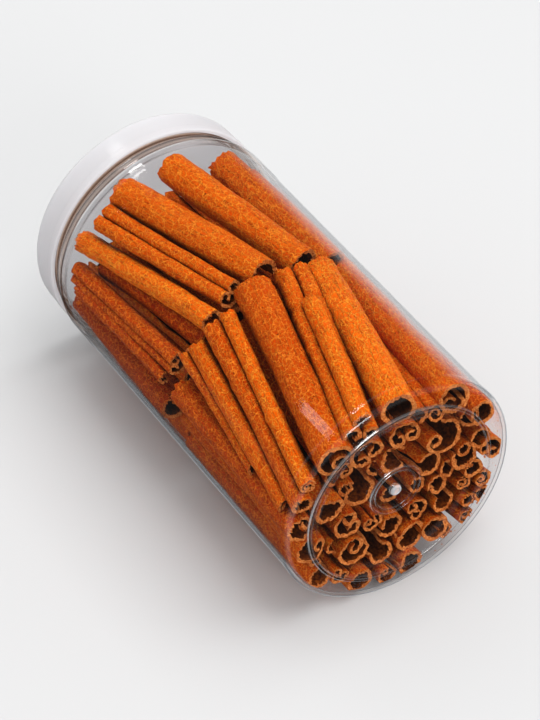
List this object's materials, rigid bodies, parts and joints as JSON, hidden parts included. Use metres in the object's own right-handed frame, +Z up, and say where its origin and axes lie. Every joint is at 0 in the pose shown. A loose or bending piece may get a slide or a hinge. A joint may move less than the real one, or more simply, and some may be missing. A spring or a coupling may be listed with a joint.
{
  "type": "jar of cinnamon sticks",
  "caption": "Clear round screw-top jar lying on its side, closed with a white lid and packed with rolled cinnamon quills in two tiers laid end to end.",
  "frame": {"origin": "under the middle of the jar, on the surface that it lies on", "axes": "+X along the jar's axis from the lid towards the base, +Z up"},
  "size_m": [0.164, 0.086, 0.0857],
  "materials": {
    "clear_plastic": "clear moulded PET, smooth and glossy, with faint seams and rings",
    "white_lid": "opaque white, smooth and glossy",
    "cinnamon_bark": "dry rolled bark, matt, with a fine net of paler fibres and lighter cut ends"
  },
  "bodies": {
    "root": {"jar": "clear_plastic", "lid": "white_lid", "sticks_base_tier": "cinnamon_bark", "sticks_lid_tier": "cinnamon_bark"}
  },
  "joints": []
}
